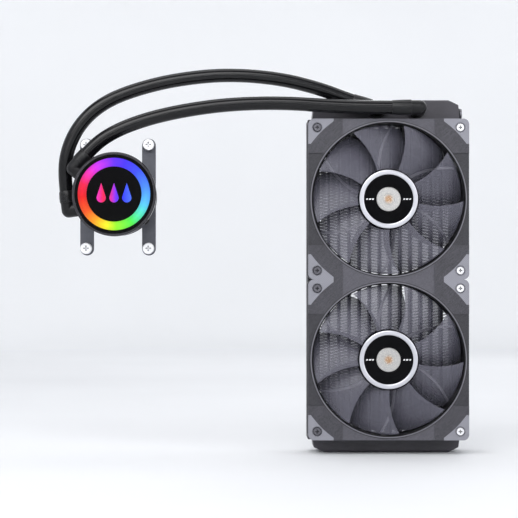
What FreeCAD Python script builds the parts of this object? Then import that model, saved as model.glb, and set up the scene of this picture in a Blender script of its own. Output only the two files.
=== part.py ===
import FreeCAD, Part
import math
import os

# Closed-loop liquid cooler: a 280 mm radiator with two 140 mm fans, two rubber hoses and a pump head.
# Millimetres. +Z is up, +X is right and +Y points away from the fans, into the wall that the radiator is
# bolted to. The origin is the centre of the case-bolt holes on the radiator's back face.

V = FreeCAD.Vector
UP, RIGHT, BACK = V(0, 0, 1), V(1, 0, 0), V(0, 1, 0)

# ---- radiator ----------------------------------------------------------------------------------
RAD_WIDTH = 139.0  # across the two side channels
RAD_DEPTH = 27.0  # from the fan face at y = -27 to the back face at y = 0
RAD_TOP = 159.0  # end of the tank with the hose ports
RAD_BOTTOM = -153.0  # end of the plain return tank
SHEET = 1.2  # side channels' sheet
TANK_WALL = 1.6
HEADER_Z = 137.0  # inner face of each header plate
HEADER_THICK = 1.5
TANK_LIP = 3.0  # height of the crimped lip round each tank's mouth
TANK_HALF_WIDTH = 65.4  # tank body beyond the lip
TANK_CHAMFER = (10.5, 4.5)  # sloping shoulder at each end of a tank, along x and z
TUBE_COUNT = 12
TUBE_THICK = 2.0
TUBE_DEPTH = 20.0
FIN_WIDTH = 7.1  # gap between neighbouring tubes
FIN_DEPTH = 22.0
FIN_SHEET = 0.25
FIN_PITCH = 5.6  # one whole fold
FIN_GAP = 0.05  # room for the brazing film
CHANNEL_LIP = 11.0  # width of a side channel's flanges
TAP_R = 1.65  # drilled for an M4 thread
PORT_BOSS = 2.5
PLUG_FACE, PLUG_Z = 65.8, 147.6  # the flat that the fill plug's washer sits on
SEAL_THICK = 1.0
FAN_THREAD_R = 2.0

# ---- fans --------------------------------------------------------------------------------------
FAN_SIZE = 140.0
FAN_DEPTH = 25.0
FAN_HOLE_SPACING = 124.5
FAN_CORNER_R = 5.0
BORE_R = 66.0
RING_R = 68.2  # outside of the duct wall and of its raised lip
FLANGE_THICK = 4.5
PAD_THICK = 2.2
PAD_ARC_R = 83.0  # inner edge of each corner pad, round the fan's own axis
PAD_REACH = 22.0  # how far a pad runs along each side of the frame
PAD_SINK_R = 4.4  # recess round each screw's head
STEP_HALF = 40.0  # the middle of each side is stepped down between these
STEP_DEPTH = 0.8
STRUT_COUNT = 6
STRUT_SWEEP = 23.0  # degrees, clockwise from hub to duct as seen from the front
STRUT_WIDTH = 2.0
BLADE_COUNT = 9
TIP_R = 65.2
HUB_R = 26.6
HUB_WALL = 2.0
TRIM_R = (25.4, 21.6)  # bright ring on the hub
BADGE_R = 10.5
DOT_R = 4.7
SHAFT_R = 2.0
RUNNING_GAP = 0.04

# ---- pump head ---------------------------------------------------------------------------------
PUMP_X, PUMP_Z = -236.0, 72.0
PLATE_Y = -40.0  # contact face of the cold plate; heights below are measured from it, towards the front
PLATE_R = 28.0
PLATE_THICK = 2.5
BODY_R = 28.5
FLANGE_R = 33.0
BRACKET_H = (4.3, 6.1)
BODY_TOP = 36.0  # the wet housing ends and the dry cover begins
JOINT_GROOVE = (0.6, 0.8)  # depth and height of the shadow gap under the cover
SHELL_R = 34.0
SHELL_TOP = 52.0
LIGHT_R = (30.6, 23.3)
TRIM_RING_R = (35.6, 33.4)
FACE_H = 54.2
WET_R = 20.5  # chamber over the cold plate
IMPELLER_ROOM_R = 17.5
COVER_H = (20.0, 21.6)  # plate between the two chambers
ROOF_H = 34.0
BRACKET_SPACING = (54.0, 90.0)
STUD_R = 1.75  # threaded end
SHANK_R = 2.0  # plain part of each bracket screw, inside its spring and the bracket's hole
SHANK_END_H = 4.0
SCREW_HEAD_H = (14.0, 17.4)
PORT_FACE = 29.0  # distance from the pump's axis to each port's face

# ---- hoses -------------------------------------------------------------------------------------
HOSE_R = 6.0
ELBOW_R = 6.3
OUTLET = 7.0  # from an elbow's corner to the hose
RAD_PORT_Z = 149.5
# Hose A runs in front and below, hose B behind and above.
# Tilt is how far an elbow's outlet leans from its square position, in degrees.
RAD_PORTS = {"a": {"x": 26.5, "y": -54.0, "tilt": 0.0}, "b": {"x": -8.0, "y": -38.5, "tilt": 18.0}}
PUMP_PORTS = {"a": {"height": 27.0, "tilt": 40.0, "reach": 43.0, "offset": -5.5},
              "b": {"height": 13.5, "tilt": -8.0, "reach": 43.4, "offset": -6.0}}
# Each hose leaves its two elbows straight for these lengths.
# Between them it passes these points, from the radiator to the pump.
HOSE_ENDS = {"a": (28.0, 18.0), "b": (21.0, 26.0)}
HOSE_POINTS = {
    "a": [(-48.0, -54.5, 150.4), (-94.0, -56.0, 153.4), (-139.0, -58.5, 151.8), (-179.3, -61.5, 145.9),
          (-212.4, -64.5, 137.7), (-238.4, -66.5, 127.2)],
    "b": [(-58.4, -39.0, 167.4), (-95.3, -40.0, 176.6), (-141.2, -42.5, 179.8), (-186.9, -45.5, 174.6),
          (-223.6, -48.5, 164.8), (-248.3, -51.0, 153.8), (-266.4, -52.7, 138.1), (-278.4, -53.4, 117.3)],
}

FRONT = -RAD_DEPTH - FAN_DEPTH  # the fans' front plane
FAN_CENTRES = {"upper": FAN_SIZE / 2, "lower": -FAN_SIZE / 2}
HOLE = FAN_HOLE_SPACING / 2
CORNERS = [(-1, -1), (1, -1), (1, 1), (-1, 1)]
DROP_X = (-10.8, 0.0, 10.8)  # three droplets side by side on the pump's face


# ---- helpers -----------------------------------------------------------------------------------
def box(x0, x1, y0, y1, z0, z1):
    return Part.makeBox(x1 - x0, y1 - y0, z1 - z0, V(x0, y0, z0))


def rod(x, z, r, y0, y1):
    """A cylinder along Y from y0 to y1."""
    return Part.makeCylinder(r, y1 - y0, V(x, y0, z), BACK)


def ring(x, z, r_out, r_in, y0, y1):
    return rod(x, z, r_out, y0, y1).cut(rod(x, z, r_in, y0 - 1, y1 + 1))


def plate(points, y0, y1):
    """A closed outline of (x, z) points, extruded along Y."""
    wire = Part.makePolygon([V(x, y0, z) for x, z in [*points, points[0]]])
    return Part.Face(wire).extrude(V(0, y1 - y0, 0))


def along(edge, direction):
    a, b = edge.Vertexes[0].Point, edge.Vertexes[-1].Point
    d = b.sub(a)
    return d.Length > 1e-6 and abs(abs(d.normalize().dot(direction)) - 1) < 1e-6


def round_edges(shape, direction, r, wanted=lambda point: True):
    """Rounds the straight edges along a direction whose first point is a wanted one."""
    edges = [e for e in shape.Edges if along(e, direction) and wanted(e.Vertexes[0].Point)]
    return shape.makeFillet(r, edges)


def rounded_square(x, z, side, r, y0, y1):
    h = side / 2
    return round_edges(box(x - h, x + h, y0, y1, z - h, z + h), BACK, r)


def polar(x, z, r, degrees):
    a = math.radians(degrees)
    return x + r * math.cos(a), z + r * math.sin(a)


def revolve(profile, x, z):
    """Turns a closed (radius, y) outline round the Y axis through (x, z)."""
    wire = Part.makePolygon([V(x + r, y, z) for r, y in [*profile, profile[0]]])
    return Part.Face(wire).revolve(V(x, 0, z), BACK, 360)


def fuse_all(shapes):
    first, *rest = shapes
    return first.fuse(rest).removeSplitter() if rest else first


def save(name, *shapes):
    """One STEP per node; a node may hold several separate solids."""
    solids = [s for shape in shapes for s in shape.Solids]
    for s in solids:
        if not s.isValid() or s.Volume <= 0:
            raise ValueError(f"{name} has a bad solid")
    shape = solids[0] if len(solids) == 1 else Part.makeCompound(solids)
    shape.exportStep(os.path.join("parts", name + ".step"))


# ---- radiator ----------------------------------------------------------------------------------
def tube_positions():
    pitch = TUBE_THICK + FIN_WIDTH
    first = -pitch * (TUBE_COUNT - 1) / 2
    return [first + i * pitch for i in range(TUBE_COUNT)]


def coolant_tubes():
    half = HEADER_Z + HEADER_THICK + 1.0
    y0, y1 = -RAD_DEPTH / 2 - TUBE_DEPTH / 2, -RAD_DEPTH / 2 + TUBE_DEPTH / 2
    wall = 0.4
    made = []
    for x in tube_positions():
        outer = box(x - TUBE_THICK / 2, x + TUBE_THICK / 2, y0, y1, -half, half)
        bore = box(x - TUBE_THICK / 2 + wall, x + TUBE_THICK / 2 - wall, y0 + wall, y1 - wall, -half, half)
        made.append(outer.cut(bore))
    return made


def fin_strip(x0, x1):
    """One folded strip between two tubes: a zigzag sheet that runs up the core."""
    step = FIN_PITCH / 2
    folds = int((HEADER_Z - 1.0) / step)
    near, far = x0 + FIN_GAP, x1 - FIN_GAP
    # the sheet's thickness, measured across the strip
    slant = FIN_SHEET * math.hypot(step, far - near) / step
    left, right = [], []
    for i in range(-folds, folds + 1):
        turn = near if i % 2 == 0 else far - slant
        left.append((turn, i * step))
        right.append((turn + slant, i * step))
    return plate(left + right[::-1], -RAD_DEPTH / 2 - FIN_DEPTH / 2, -RAD_DEPTH / 2 + FIN_DEPTH / 2)


def cooling_fins():
    half = TUBE_THICK / 2
    edges = [-tube_positions()[-1] - half - FIN_WIDTH]
    for x in tube_positions():
        edges += [x - half, x + half]
    edges.append(-edges[0])
    return [fin_strip(edges[i], edges[i + 1]) for i in range(0, len(edges), 2)]


def header_plate(side):
    z0, z1 = sorted((side * HEADER_Z, side * (HEADER_Z + HEADER_THICK)))
    body = box(-RAD_WIDTH / 2, RAD_WIDTH / 2, -RAD_DEPTH, 0, z0, z1)
    y0, y1 = -RAD_DEPTH / 2 - TUBE_DEPTH / 2, -RAD_DEPTH / 2 + TUBE_DEPTH / 2
    slots = [box(x - TUBE_THICK / 2, x + TUBE_THICK / 2, y0, y1, z0, z1) for x in tube_positions()]
    return body.cut(slots)


def tank(side, end):
    """A pressed tank: a wide lip at its mouth, then a body that tapers to shouldered ends."""
    mouth = side * (HEADER_Z + HEADER_THICK)
    lip_end = mouth + side * TANK_LIP
    run, drop = TANK_CHAMFER
    taper = 1.4

    def outline(inset):
        w, e = TANK_HALF_WIDTH - inset, end - side * inset
        shoulder = e - side * drop
        right = [(w, mouth), (w - taper, shoulder), (w - run, e)]
        return right + [(-x, z) for x, z in right[::-1]]

    body = plate(outline(0), -RAD_DEPTH, 0)
    body = round_edges(body, RIGHT, 2.0, lambda p: abs(p.z - end) < 0.01)
    lip = box(-RAD_WIDTH / 2, RAD_WIDTH / 2, -RAD_DEPTH, 0, *sorted((mouth, lip_end)))
    lip = round_edges(lip, BACK, 1.2, lambda p: abs(p.z - lip_end) < 0.01)
    front, back = -RAD_DEPTH + TANK_WALL, -TANK_WALL
    inside = plate(outline(TANK_WALL), front, back)
    half = TANK_HALF_WIDTH - TANK_WALL
    room = box(-half, half, front, back, *sorted((mouth, mouth + side * 2 * TANK_WALL)))
    return body.fuse(lip).removeSplitter().cut([inside, room])


def port_tank():
    """The tank with the hose ports. Its inner wall sends the coolant down one half and up the other."""
    body = tank(1, RAD_TOP)
    places = [port["x"] for port in RAD_PORTS.values()]
    bosses = [rod(x, RAD_PORT_Z, 8.0, -RAD_DEPTH - PORT_BOSS, -RAD_DEPTH + TANK_WALL) for x in places]
    divider_x = sum(places) / 2
    z0, z1 = HEADER_Z + HEADER_THICK, RAD_TOP - TANK_WALL
    divider = box(divider_x - 0.8, divider_x + 0.8, -RAD_DEPTH + TANK_WALL, -TANK_WALL, z0 + 1.2, z1)
    holes = [rod(x, RAD_PORT_Z, 4.95, -RAD_DEPTH - 5, -RAD_DEPTH + 3) for x in places]
    plug_start = V(PLUG_FACE - 3.4, -RAD_DEPTH / 2, PLUG_Z)
    bosses.append(Part.makeCylinder(6.0, 3.4, plug_start, RIGHT))
    holes.append(Part.makeCylinder(3.45, 10, plug_start.sub(RIGHT), RIGHT))
    return fuse_all([body, *bosses, divider]).cut(holes)


def fill_plug():
    """A socket-head plug in the boss at the port tank's right end, and the washer under it."""
    face = PLUG_FACE
    y = -RAD_DEPTH / 2

    def disc(r, x0, x1):
        return Part.makeCylinder(r, x1 - x0, V(x0, y, PLUG_Z), RIGHT)

    corners = [math.radians(60 * i) for i in range(7)]
    hexagon = [V(face + 1.3, y + 1.8 * math.cos(a), PLUG_Z + 1.8 * math.sin(a)) for a in corners]
    socket = Part.Face(Part.makePolygon(hexagon)).extrude(V(4, 0, 0))
    plug = fuse_all([disc(3.45, face - 3.0, face + 1.0), disc(5.0, face + 0.9, face + 2.6)])
    return plug.cut(socket), disc(5.2, face, face + 0.9).cut(disc(3.45, face - 1, face + 2))


def side_channel(side):
    """A folded channel with a flange at the front and back; its flanges carry the screw holes."""
    half = HEADER_Z
    outer, inner = side * RAD_WIDTH / 2, side * (RAD_WIDTH / 2 - CHANNEL_LIP)
    web_in = side * (RAD_WIDTH / 2 - SHEET)
    web = box(*sorted((outer, web_in)), -RAD_DEPTH, 0, -half, half)
    front = box(*sorted((outer, inner)), -RAD_DEPTH, -RAD_DEPTH + SHEET, -half, half)
    back = box(*sorted((outer, inner)), -SHEET, 0, -half, half)
    floor = box(*sorted((inner, inner + side * SHEET)), -RAD_DEPTH + 1.0, -1.0, -half, half)
    body = fuse_all([web, front, back, floor])
    body = round_edges(body, UP, 0.8, lambda p: abs(p.x - outer) < 0.01)
    holes = []
    for centre in FAN_CENTRES.values():
        for sz in (-1, 1):
            z = centre + sz * HOLE
            holes.append(rod(side * HOLE, z, FAN_THREAD_R, -RAD_DEPTH - 1, -RAD_DEPTH + SHEET + 1))
            holes.append(rod(side * HOLE, z, TAP_R, -SHEET - 1, 1))
    return body.cut(holes)


# ---- fans --------------------------------------------------------------------------------------
def strut(z, angle, y0, y1):
    """One curved strut from the motor cup to the duct, sweeping clockwise on its way out."""
    r0, r1, steps = 21.0, BORE_R + 1.0, 6
    sides = {-1: [], 1: []}
    for i in range(steps + 1):
        s = i / steps
        r = r0 + (r1 - r0) * s
        a = angle - STRUT_SWEEP * s
        x, zz = polar(0, z, r, a)
        for k in sides:
            dx, dz = polar(0, 0, k * STRUT_WIDTH / 2 * (1.25 - 0.35 * s), a + 90)
            sides[k].append(V(x + dx, y0, zz + dz))
    curves = []
    for k in (-1, 1):
        c = Part.BSplineCurve()
        c.interpolate(sides[k])
        curves.append(c.toShape())
    ends = [Part.makeLine(sides[-1][i], sides[1][i]) for i in (0, -1)]
    return Part.Face(Part.Wire(Part.__sortEdges__([*curves, *ends]))).extrude(V(0, y1 - y0, 0))


def corner_region(z, sx, sz, y0, y1):
    """The corner of a fan outside the pad arc, with blunt tips."""
    half = FAN_SIZE / 2
    near = half - PAD_REACH
    square = rounded_square(0, z, FAN_SIZE, FAN_CORNER_R, y0, y1)
    corner = box(*sorted((sx * near, sx * half)), y0, y1, *sorted((z + sz * near, z + sz * half)))
    return square.common(corner).cut(rod(0, z, PAD_ARC_R, y0 - 1, y1 + 1))


def fan_frame(z):
    back = -RAD_DEPTH
    body = rounded_square(0, z, FAN_SIZE, FAN_CORNER_R, FRONT, back)
    body = body.cut(rod(0, z, BORE_R, FRONT - 1, back + 1))
    # hollow between the two flanges, outside the duct wall and the screw posts
    gap = rounded_square(0, z, FAN_SIZE + 2, FAN_CORNER_R, FRONT + FLANGE_THICK, back - FLANGE_THICK)
    keep = [rod(0, z, RING_R, FRONT, back)]
    keep += [rod(sx * HOLE, z + sz * HOLE, 5.0, FRONT, back) for sx, sz in CORNERS]
    body = body.cut(gap.cut(keep))
    cuts = []
    for sx, sz in CORNERS:
        cuts.append(corner_region(z, sx, sz, FRONT - 1, FRONT + PAD_THICK))
        cuts.append(corner_region(z, sx, sz, back - PAD_THICK, back + 1))
        cuts.append(rod(sx * HOLE, z + sz * HOLE, 2.3, FRONT - 1, back + 1))
    for turn in range(4):
        step = box(-STEP_HALF, STEP_HALF, FRONT - 1, FRONT + STEP_DEPTH, 50, 80)
        step.rotate(V(0, 0, 0), BACK, 90 * turn)
        step.translate(V(0, 0, z))
        cuts.append(step.cut(rod(0, z, RING_R, FRONT - 2, FRONT + 2)))
    body = body.cut(cuts)
    # bevelled mouth of the duct
    r, y0, y1 = BORE_R, FRONT - 0.1, FRONT + 1.4
    body = body.cut(revolve([(r - 1, y0), (r + 1.1, y0), (r - 0.1, y1), (r - 1, y1)], 0, z))
    # the leads' way out: a notch in the back edge, on the left above the middle
    return body.cut(box(-71.0, -60.0, back - 3.0, back + 1, z + 19.0, z + 25.0))


def motor_mount(z):
    """The cup behind the hub, its bearing tower and the curved struts that reach out to the duct."""
    back = -RAD_DEPTH
    cup = rod(0, z, 24.6, back - 3.4, back - 0.6).cut(rod(0, z, 5.0, back - 5, back + 1))
    tower = ring(0, z, 7.0, 5.0, back - 17.2, back - 3.0)
    cap = rod(0, z, 5.2, back - 1.4, back - 0.6)
    struts = [strut(z, 108 + 360 / STRUT_COUNT * i, back - 4.6, back - 0.6) for i in range(STRUT_COUNT)]
    return fuse_all([cup, tower, cap, *struts]).common(rod(0, z, BORE_R, FRONT, back))


def corner_pads(z):
    made = []
    for y0, y1, mouth in ((FRONT, FRONT + PAD_THICK, FRONT), (-RAD_DEPTH - PAD_THICK, -RAD_DEPTH, None)):
        for sx, sz in CORNERS:
            pad = corner_region(z, sx, sz, y0, y1)
            hx, hz = sx * HOLE, z + sz * HOLE
            pad = pad.cut(rod(hx, hz, 2.3, y0 - 1, y1 + 1))
            if mouth is not None:
                pad = pad.cut(rod(hx, hz, PAD_SINK_R, y0 - 1, y0 + 1.2))
            made.append(pad)
    return made


def blade(z):
    """One blade, lofted through thin cambered sections that turn and sweep from hub to tip."""
    middle = FRONT + 10.0
    sections = []
    for i in range(5):
        s = i / 4
        reach = 19.0 + 50.0 * s
        chord = 24.0 + 29.0 * s
        pitch = math.radians(40.0 - 22.0 * s ** 0.8)
        camber = 2.2 + 0.6 * s
        thick = 1.9 - 0.7 * s
        sweep = reach * math.tan(math.radians(-6.0 + 20.0 * s * s))
        rims = {1: [], -1: []}
        for j in range(5):
            u = j / 4
            bow = camber * 4 * u * (1 - u)
            swell = thick / 2 * (0.35 + 0.65 * math.sin(math.pi * min(1, u * 0.8 + 0.15)))
            for k in rims:
                t, n = (0.5 - u) * chord, bow + k * swell
                across = sweep + t * math.cos(pitch) - n * math.sin(pitch)
                depth = -t * math.sin(pitch) - n * math.cos(pitch)
                rims[k].append(V(reach, middle + depth, across))
        edges = []
        for k in (1, -1):
            c = Part.BSplineCurve()
            c.interpolate(rims[k])
            edges.append(c.toShape())
        edges.insert(1, Part.makeLine(rims[1][-1], rims[-1][-1]))
        edges.append(Part.makeLine(rims[-1][0], rims[1][0]))
        sections.append(Part.Wire([edges[0], edges[1], edges[2].reversed(), edges[3]]))
    body = Part.makeLoft(sections, True, False)
    body.translate(V(0, 0, z))
    return body.common(ring(0, z, TIP_R, HUB_R, FRONT, -RAD_DEPTH))


def fan_rotor(z):
    """The hub, with a seat for the badge and a boss for the shaft, and the blades that stand on it."""
    top = FRONT + 0.8
    inner, skirt = HUB_R - HUB_WALL, FRONT + 19.0
    hub = revolve([
        (SHAFT_R, top + 1.6), (BADGE_R, top + 1.6), (BADGE_R, top + 0.6), (TRIM_R[1], top + 0.6),
        (TRIM_R[1], top + 1.6), (TRIM_R[0], top + 1.6), (TRIM_R[0], top), (HUB_R - 0.8, top),
        (HUB_R, top + 0.8), (HUB_R, skirt), (inner, skirt), (inner, top + 3.8),
        (5.0, top + 3.8), (5.0, top + 6.0), (SHAFT_R, top + 6.0)], 0, z)
    blades = []
    first = blade(z)
    for i in range(BLADE_COUNT):
        b = first.copy()
        b.rotate(V(0, 0, z), BACK, -360 / BLADE_COUNT * i - 12)
        blades.append(b)
    return [hub, *blades]


def fan_motor(z):
    """The turning and the still parts inside the hub."""
    top = FRONT + 0.8 + 3.8
    back = -RAD_DEPTH
    inner = HUB_R - HUB_WALL
    yoke = ring(0, z, inner, inner - 1.0, top, FRONT + 18.6)
    magnet = ring(0, z, inner - 1.0, inner - 3.2, top + 1.0, FRONT + 18.0)
    shaft = rod(0, z, SHAFT_R, FRONT + 0.8 + 1.6, back - 2.2)
    bearing = ring(0, z, 5.0, SHAFT_R + RUNNING_GAP, back - 17.2, back - 3.4)
    core_y0, core_y1 = FRONT + 7.6, FRONT + 16.6
    outer = inner - 3.2 - 0.6
    core = ring(0, z, outer, 7.0, core_y0 + 2.5, core_y1 - 2.5)
    windows = []
    coils = []
    for i in range(4):
        a = 45 + 90 * i
        for side in (-1, 1):
            x, zz = polar(0, z, 12.3, a + side * 27)
            windows.append(rod(x, zz, 3.3, core_y0, core_y1))
        wound = box(9.3, 16.4, core_y0, core_y1, -3.1, 3.1)
        wound = round_edges(wound, RIGHT, 1.0)
        wound = wound.cut(box(9.0, 17.0, core_y0 + 2.5, core_y1 - 2.5, -2.2, 2.2))
        wound.rotate(V(0, 0, 0), BACK, -a)
        wound.translate(V(0, 0, z))
        coils.append(wound)
    core = core.cut(windows + coils)
    slots = [box(outer - 4.2, outer + 1, core_y0, core_y1, -0.8, 0.8) for _ in range(4)]
    for i, s in enumerate(slots):
        s.rotate(V(0, 0, 0), BACK, -90 * i)
        s.translate(V(0, 0, z))
    core = core.cut(slots)
    board = ring(0, z, 20.4, 7.3, back - 5.4, back - 3.8)
    board = board.cut(box(16, 24, back - 6, back - 3, z - 4, z + 4))
    return yoke, magnet, shaft, bearing, core, coils, board


def hub_badge(z):
    top = FRONT + 0.8
    trim = revolve([(TRIM_R[1], top - 0.2), (TRIM_R[1] + 0.7, top - 0.5), (TRIM_R[0] - 0.7, top - 0.5),
                    (TRIM_R[0], top - 0.2), (TRIM_R[0], top + 1.6), (TRIM_R[1], top + 1.6)], 0, z)
    badge = revolve([(0, top + 0.3), (DOT_R, top + 0.3), (DOT_R + 0.3, top), (BADGE_R - 0.5, top),
                     (BADGE_R, top + 0.4), (BADGE_R, top + 1.6), (0, top + 1.6)], 0, z)
    return trim, badge


def fan_screws(side):
    """The column of screws at one side, through both fans' frames into the side channel."""
    made = []
    for z in FAN_CENTRES.values():
        for end in (-1, 1):
            x, zz = side * HOLE, z + end * HOLE
            seat = FRONT + 1.2
            rim, crown = seat - 1.2, seat - 2.1
            head = revolve([(0, seat), (3.6, seat), (3.6, rim), (3.1, crown), (0, crown)], x, zz)
            cross = [box(x - 1.6, x + 1.6, seat - 3, seat - 0.6, zz - 0.5, zz + 0.5),
                     box(x - 0.5, x + 0.5, seat - 3, seat - 0.6, zz - 1.6, zz + 1.6)]
            shank = rod(x, zz, FAN_THREAD_R - 0.05, seat, -RAD_DEPTH + 4.0)
            made.append(head.cut(cross).fuse(shank).removeSplitter())
    return made


# ---- hoses and their fittings ------------------------------------------------------------------
def tangent_path(points):
    """Straight runs joined by tangent arcs, each arc as large as its two runs allow."""
    edges, start = [], points[0]
    length, radii = 0.0, []
    for a, b, c in zip(points, points[1:], points[2:]):
        u, w = b.sub(a), c.sub(b)
        run = 0.45 * min(u.Length, w.Length)
        u.normalize()
        w.normalize()
        turn = u.getAngle(w)
        radius = run / math.tan(turn / 2)
        radii.append(radius)
        p, q = b.sub(u * run), b.add(w * run)
        inward = w.sub(u).normalize()
        mid = b.add(inward * (math.hypot(radius, run) - radius))
        edges.append(Part.LineSegment(start, p).toShape())
        edges.append(Part.Arc(p, mid, q).toShape())
        length += p.sub(start).Length + radius * turn
        start = q
    edges.append(Part.LineSegment(start, points[-1]).toShape())
    length += points[-1].sub(start).Length
    return Part.Wire(edges), length, radii


def sweep_tube(points, r_out):
    path, length, radii = tangent_path(points)
    across = points[1].sub(points[0]).normalize()
    profile = Part.Wire(Part.makeCircle(r_out, points[0], across))
    tube = path.makePipeShell([profile], True, False)
    return tube, length, radii


def elbow(start, corner, outlet):
    """A compact elbow: a stem from start to the corner, a ball and a short outlet."""
    stem = corner.sub(start)
    return fuse_all([Part.makeCylinder(ELBOW_R, stem.Length, start, stem), Part.makeSphere(ELBOW_R, corner),
                     Part.makeCylinder(ELBOW_R, OUTLET, corner, outlet)])


def radiator_outlet(name):
    port = RAD_PORTS[name]
    tilt = math.radians(port["tilt"])
    outlet = V(-math.cos(tilt), 0, math.sin(tilt))
    corner = V(port["x"], port["y"], RAD_PORT_Z)
    return corner, outlet, corner.add(outlet * OUTLET)


def radiator_elbow(name):
    """Threads into a tank port; its collar squeezes a seal against the port's boss."""
    corner, outlet, _ = radiator_outlet(name)
    boss = -RAD_DEPTH - PORT_BOSS
    body = elbow(V(corner.x, boss - SEAL_THICK, corner.z), corner, outlet)
    collar = rod(corner.x, corner.z, 7.4, boss - 2.4, boss - SEAL_THICK)
    spigot = rod(corner.x, corner.z, 4.95, boss - SEAL_THICK, -RAD_DEPTH + 1.5)
    return fuse_all([body, collar, spigot]), ring(corner.x, corner.z, 7.0, 4.95, boss - SEAL_THICK, boss)


def pump_port(name):
    """The port's outward direction, its elbow's outlet direction, and where the port starts."""
    port = PUMP_PORTS[name]
    tilt = math.radians(port["tilt"])
    outward = V(-math.cos(tilt), 0, math.sin(tilt))
    outlet = V(math.sin(tilt), 0, math.cos(tilt))
    side = V(PUMP_X, PLATE_Y - port["height"], PUMP_Z).add(outlet * port["offset"])
    return outward, outlet, side


def pump_outlet(name):
    outward, outlet, side = pump_port(name)
    corner = side.add(outward * PUMP_PORTS[name]["reach"])
    return corner, outlet, corner.add(outlet * OUTLET)


def pump_elbow(name):
    outward, outlet, side = pump_port(name)
    corner, _, _ = pump_outlet(name)
    face = side.add(outward * PORT_FACE)
    body = elbow(face.add(outward * SEAL_THICK), corner, outlet)
    collar = Part.makeCylinder(6.8, 2.0, face.add(outward * SEAL_THICK), outward)
    spigot = Part.makeCylinder(4.45, 4.0 + SEAL_THICK, face.sub(outward * 4.0), outward)
    seal = Part.makeCylinder(6.4, SEAL_THICK, face, outward)
    seal = seal.cut(Part.makeCylinder(4.45, 3.0, face.sub(outward), outward))
    return fuse_all([body, collar, spigot]), seal


def hose(name):
    _, first_way, start = radiator_outlet(name)
    _, last_way, end = pump_outlet(name)
    first, last = HOSE_ENDS[name]
    between = [V(*point) for point in HOSE_POINTS[name]]
    route = [start, start.add(first_way * first), *between, end.add(last_way * last), end]
    tube, length, radii = sweep_tube(route, HOSE_R)
    expected = math.pi * HOSE_R ** 2 * length
    print(f"hose {name}: {length:.1f} mm, volume {tube.Volume / expected:.4f} of section times length")
    print("  bend radii", [round(r) for r in radii])
    print("  ends", [[round(c, 2) for c in p] for p in (route[0], route[1], route[-2], route[-1])])
    return tube


# ---- pump head ---------------------------------------------------------------------------------
def at(height):
    return PLATE_Y - height


def drum(r, h0, h1):
    return rod(PUMP_X, PUMP_Z, r, at(h1), at(h0))


def hollow_drum(r_out, r_in, h0, h1):
    return ring(PUMP_X, PUMP_Z, r_out, r_in, at(h1), at(h0))


def turned(profile):
    """A closed (radius, height) outline turned round the pump's axis."""
    return revolve([(r, at(h)) for r, h in profile], PUMP_X, PUMP_Z)


def around(count, r, first=0.0):
    return [polar(PUMP_X, PUMP_Z, r, first + 360 / count * i) for i in range(count)]


def cold_plate():
    """A copper disc with a block of thin fins in the wet chamber."""
    base = turned([(0, 0), (PLATE_R - 0.6, 0), (PLATE_R, 0.6), (PLATE_R, PLATE_THICK), (0, PLATE_THICK)])
    holes = []
    for x, z in around(8, 25.6, 22.5):
        holes.append(rod(x, z, 1.25, at(PLATE_THICK + 1), at(-1)))
        sink = [(0, at(-0.1)), (2.1, at(-0.1)), (2.1, at(0)), (1.25, at(1.2)), (0, at(1.2))]
        holes.append(revolve(sink, x, z))
    count, pitch, thick, half = 21, 1.2, 0.5, 13.0
    y0, y1 = at(PLATE_THICK + 3.5), at(PLATE_THICK - 0.5)
    fins = []
    for i in range(count):
        x = PUMP_X + (i - (count - 1) / 2) * pitch
        fins.append(box(x - thick / 2, x + thick / 2, y0, y1, PUMP_Z - half, PUMP_Z + half))
    return base.cut(holes).fuse(fins).removeSplitter()


def cold_plate_screws():
    made = []
    outline = [(0, at(0.2)), (1.75, at(0.2)), (1.25, at(1.2)), (1.25, at(8.0)), (0, at(8.0))]
    for x, z in around(8, 25.6, 22.5):
        made.append(revolve(outline, x, z))
    return made


def pump_housing():
    """The wet half: a lower chamber over the cold plate, an upper one for the impeller, and two ports."""
    flange_top = BRACKET_H[0]
    neck_r, neck_h = BODY_R - JOINT_GROOVE[0], BODY_TOP - JOINT_GROOVE[1]
    body = turned([(0, PLATE_THICK), (FLANGE_R, PLATE_THICK), (FLANGE_R, flange_top), (BODY_R, flange_top),
                   (BODY_R, neck_h), (neck_r, neck_h), (neck_r, BODY_TOP), (0, BODY_TOP)])
    bosses, bores = [], []
    for name, inner in (("a", 12.0), ("b", 17.0)):
        outward, _, side = pump_port(name)
        bosses.append(Part.makeCylinder(7.0, PORT_FACE - 20.0, side.add(outward * 20.0), outward))
        bores.append(Part.makeCylinder(4.45, PORT_FACE + 2 - inner, side.add(outward * inner), outward))
    body = fuse_all([body, *bosses])
    rooms = [drum(WET_R, PLATE_THICK - 1, COVER_H[1]), drum(IMPELLER_ROOM_R, COVER_H[1], ROOF_H)]
    groove = hollow_drum(23.4, 21.6, PLATE_THICK - 1, PLATE_THICK + 0.8)
    body = body.cut([*rooms, groove, *bores])
    screw_holes = [rod(x, z, 1.25, at(8.5), at(0)) for x, z in around(8, 25.6, 22.5)]
    pin_boss = drum(3.2, 32.0, ROOF_H + 0.5)
    return fuse_all([body.cut(screw_holes), pin_boss]).cut(drum(1.5, 30.0, 35.0))


def jet_plate():
    """A thin plate that spreads the coolant over the fins through a slot."""
    slot = box(PUMP_X - 12, PUMP_X + 12, at(9.0), at(6.0), PUMP_Z - 1.5, PUMP_Z + 1.5)
    legs = [rod(x, z, 1.2, at(6.7), at(PLATE_THICK)) for x, z in around(4, 17.5)]
    return fuse_all([drum(19.5, 6.6, 7.8).cut(slot), *legs])


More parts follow.
